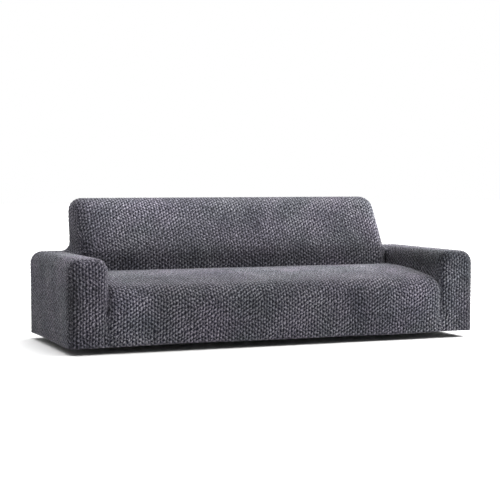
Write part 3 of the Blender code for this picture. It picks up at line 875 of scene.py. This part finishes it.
def cloth_material():
    """Dark melange knit: pits painted darker and crests lighter by their height, as painted shade and
    painted light; slow mottling, small gaps with painted shade in their middles, patches of painted
    light and shade, fine ribs and flecks."""
    material = bpy.data.materials.new("puckered_knit")
    tree = NodeTree(material)
    shader = tree.nodes["Principled BSDF"]
    tree.join(shader, CLOTH_FINISH)
    place = tree.node("ShaderNodeTexCoord", {}).outputs["Object"]
    metres = tree.node("ShaderNodeUVMap", {}, uv_map="cloth_metres").outputs["UV"]

    def attribute(name):
        return tree.node("ShaderNodeAttribute", {}, attribute_name=name).outputs["Fac"]

    def noise(settings):
        return tree.node("ShaderNodeTexNoise", {"Vector": place, **settings}).outputs["Fac"]

    cells = tree.node("ShaderNodeMapping", {
        "Vector": metres, "Scale": (1.0 / GAP_PITCH[0], 1.0 / GAP_PITCH[1], 1.0)})
    gaps = tree.node("ShaderNodeTexVoronoi", {"Vector": cells.outputs["Vector"], "Scale": 1.0},
                     feature="F1", voronoi_dimensions="2D")
    from_gap = gaps.outputs["Distance"]
    own = tree.node("ShaderNodeSeparateColor", {"Color": gaps.outputs["Color"]}).outputs["Red"]
    flecks = noise(FLECK_NOISE)
    ribs = tree.node("ShaderNodeTexWave", {"Vector": metres, **RIB_WAVES},
                     wave_type="BANDS", bands_direction="X").outputs["Fac"]

    # painted shade in the pits and painted light on the crests, by the puckers' height
    colour = tree.ramped(attribute("puff"), PAINTED_RELIEF_SHADES, "EASE")
    for tone_and_painted_light in (tree.ramped(noise(MOTTLE_NOISE), MOTTLE_TONES),
                 # painted shade in the middle of each sunk gap
                 tree.ranged(from_gap, GAP_PAINTED_SHADE),
                 tree.ranged(own, LOOP_TONES),
                 tree.ranged(flecks, FLECK_TONES),
                 # painted light and painted shade from the patches
                 attribute("tone_and_painted_light"),
                 tree.ramped(noise(TINT_NOISE), TINT_TONES)):
        colour = tree.multiplied(colour, tone_and_painted_light)
    tree.join(shader, {"Base Color": colour})

    before = {}
    for height, depth in ((tree.ranged(from_gap, GAP_SLOPE), GAP_DEPTH),
                          (ribs, RIB_DEPTH), (flecks, FLECK_DEPTH)):
        bump = tree.node("ShaderNodeBump", {
            "Strength": BUMP_STRENGTH, "Distance": depth, "Height": height, **before})
        before = {"Normal": bump.outputs["Normal"]}
    tree.join(shader, before)
    return material


# ---- the cover ----------------------------------------------------------------------
PANELS = (
    # piece, node it stands for, guides, side (-1 for the left one of a pair), sampling,
    # seed, ridges; flat cut (width, length), and its area where it isn't a rectangle
    ("cover_seat", "seat_panel", seat_guides, 1, SAMPLE,
     11, SEAT_RIDGES, (1.80, 0.86), None),
    ("cover_back_inner", "back_inner", back_inner_guides, 1, FINE_SAMPLE,
     23, BACK_RIDGES, (1.79, 0.54), None),
    ("cover_back_outer", "back_outer", back_outer_guides, 1, SAMPLE,
     37, BACK_RIDGES, (2.21, 0.705), 1.40),
    ("cover_arm_right", "arm_right", arm_guides, 1, FINE_SAMPLE,
     41, RISING, (0.85, 0.80), 0.56),
    ("cover_arm_left", "arm_left", arm_guides, -1, FINE_SAMPLE,
     53, RISING, (0.85, 0.80), 0.56),
    ("cover_arm_front_right", "arm_front_right", arm_front_guides, 1, FINE_SAMPLE,
     67, UPRIGHT, (0.20, 0.41), 0.076),
    ("cover_arm_front_left", "arm_front_left", arm_front_guides, -1, FINE_SAMPLE,
     71, UPRIGHT, (0.20, 0.41), 0.076),
    ("cover_back_end_right", "back_side_right", back_side_guides, 1, FINE_SAMPLE,
     83, RISING, (0.27, 0.27), 0.048),
    ("cover_back_end_left", "back_side_left", back_side_guides, -1, FINE_SAMPLE,
     97, RISING, (0.27, 0.27), 0.048),
)

knit = cloth_material()
for name, node_name, guides_of, side, spacing, seed, ridges, flat, area in PANELS:
    guides, keep = guides_of()
    if side < 0:
        guides, keep = mirror(guides, keep)
    piece = make_sheet(name, guides, keep, spacing, seed, ridges, knit)
    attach(piece, "root")
    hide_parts(node_name)

# ---- studio -------------------------------------------------------------------------
HEM_ABOVE_FLOOR = 0.0365
FLOOR_HEIGHT = CLOTH - BACK_TOP - HEM_ABOVE_FLOOR
FLOOR_HALF = 40.0
FLOOR_FINISH = {"Base Color": (0.90, 0.90, 0.90, 1.0), "Roughness": 0.8, "Specular IOR Level": 0.1}
WHITE = (1.0, 1.0, 1.0, 1.0)

SKY_SHADES = (
    # axis of the view, where the shade starts and ends on it, the light at these two
    ("Z", (0.20, 0.90, 1.0, 3.1)),       # brightest overhead
    ("X", (-0.95, 0.10, 0.14, 1.0)),     # dimmer to the left
    ("Y", (-0.90, 0.0, 0.52, 1.0)),      # and in front
)

LIGHTS = (
    # name, place, where it points, width and height, watts
    ("over_back", (0.05, -0.34, 0.42), (0.05, -0.06, -0.1), (2.2, 0.20), 12.0),
    ("side", (3.4, -2.0, 1.6), (0.4, -0.4, -0.3), (1.4, 1.4), 135.0),
    ("right_rim", (3.2, 0.7, 0.9), (0.4, -0.1, -0.2), (1.0, 1.0), 90.0),
    ("low_left", (-3.6, 0.5, -0.35), (-1.2, -0.4, -0.5), (1.2, 0.5), 4.0),
)

CAMERA_PLACE = (-2.9946, -7.8286, 0.1191)
CAMERA_DOWN = 2.99       # degrees below level
CAMERA_TURN = 21.96      # degrees to the right of straight ahead
CAMERA_LENS = 98.58      # millimetres, for the sensor below
CAMERA_SENSOR = 36.0
CAMERA_REACH = 200.0


def make_floor():
    mesh = bpy.data.meshes.new("studio_floor")
    corners = [(FLOOR_HALF * x, FLOOR_HALF * y, FLOOR_HEIGHT)
               for x, y in ((-1, -1), (1, -1), (1, 1), (-1, 1))]
    mesh.from_pydata(corners, [], [(0, 1, 2, 3)])
    material = bpy.data.materials.new("pale_floor")
    tree = NodeTree(material)
    tree.join(tree.nodes["Principled BSDF"], FLOOR_FINISH)
    mesh.materials.append(material)
    floor = bpy.data.objects.new("studio_floor", mesh)
    bpy.context.scene.collection.objects.link(floor)


def make_world():
    """White behind the cover, brightest overhead, dimmer to the left and in front."""
    world = bpy.data.worlds.new("studio")
    tree = NodeTree(world)
    view = tree.node("ShaderNodeTexCoord", {}).outputs["Generated"]
    parts = tree.node("ShaderNodeSeparateXYZ", {"Vector": view})
    strength, *others = [tree.ranged(parts.outputs[axis], stretch, "SMOOTHSTEP")
                         for axis, stretch in SKY_SHADES]
    for shade in others:
        product = tree.node("ShaderNodeMath", {0: strength, 1: shade}, operation="MULTIPLY")
        strength = product.outputs["Value"]
    tree.join(tree.nodes["Background"], {"Strength": strength, "Color": WHITE})
    bpy.context.scene.world = world


def area_light(name, place, target, size, power):
    data = bpy.data.lights.new(name, "AREA")
    data.shape = "RECTANGLE"
    data.size, data.size_y = size
    data.energy = power
    light = bpy.data.objects.new(name, data)
    light.location = place
    light.rotation_euler = (Vector(target) - Vector(place)).to_track_quat("-Z", "Y").to_euler()
    bpy.context.scene.collection.objects.link(light)


def make_camera():
    camera = bpy.data.objects.new("camera", bpy.data.cameras.new("camera"))
    camera.location = CAMERA_PLACE
    camera.rotation_euler = Euler((math.radians(90.0 - CAMERA_DOWN), 0.0, -math.radians(CAMERA_TURN)))
    camera.data.lens = CAMERA_LENS
    camera.data.sensor_width = CAMERA_SENSOR
    camera.data.clip_end = CAMERA_REACH
    bpy.context.scene.collection.objects.link(camera)
    bpy.context.scene.camera = camera


make_floor()
make_world()
for light in LIGHTS:
    area_light(*light)
make_camera()
bpy.context.scene.view_settings.view_transform = "Standard"
